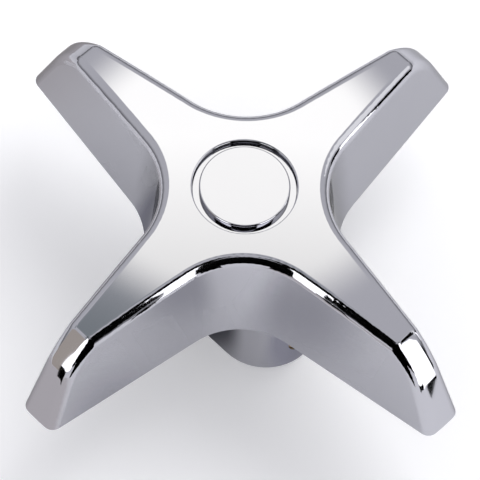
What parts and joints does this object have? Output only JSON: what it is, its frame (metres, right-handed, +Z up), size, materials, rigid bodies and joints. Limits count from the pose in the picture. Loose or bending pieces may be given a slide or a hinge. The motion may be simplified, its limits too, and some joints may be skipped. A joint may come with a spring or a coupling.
{
  "type": "tap handle",
  "caption": "Chrome cross tap handle with tapering drafted arms, a domed top with a pressed-in button, and an oblong splined hub clamped to the spindle by a grub screw.",
  "frame": {"origin": "centre of the spindle axis on the end face of the hub, which the handle stands on", "axes": "+Z up along the spindle axis towards the button, +X along the arm above the grub screw, arms along +X, +Y, -X and -Y"},
  "size_m": [0.072, 0.072, 0.03],
  "materials": {
    "body_chrome": "polished chrome plate on a zinc casting",
    "button_chrome": "polished chrome plate",
    "screw_brass": "plain turned brass"
  },
  "bodies": {
    "root": {"handle_body": "body_chrome", "index_button": "button_chrome", "set_screw": "screw_brass"}
  },
  "joints": []
}
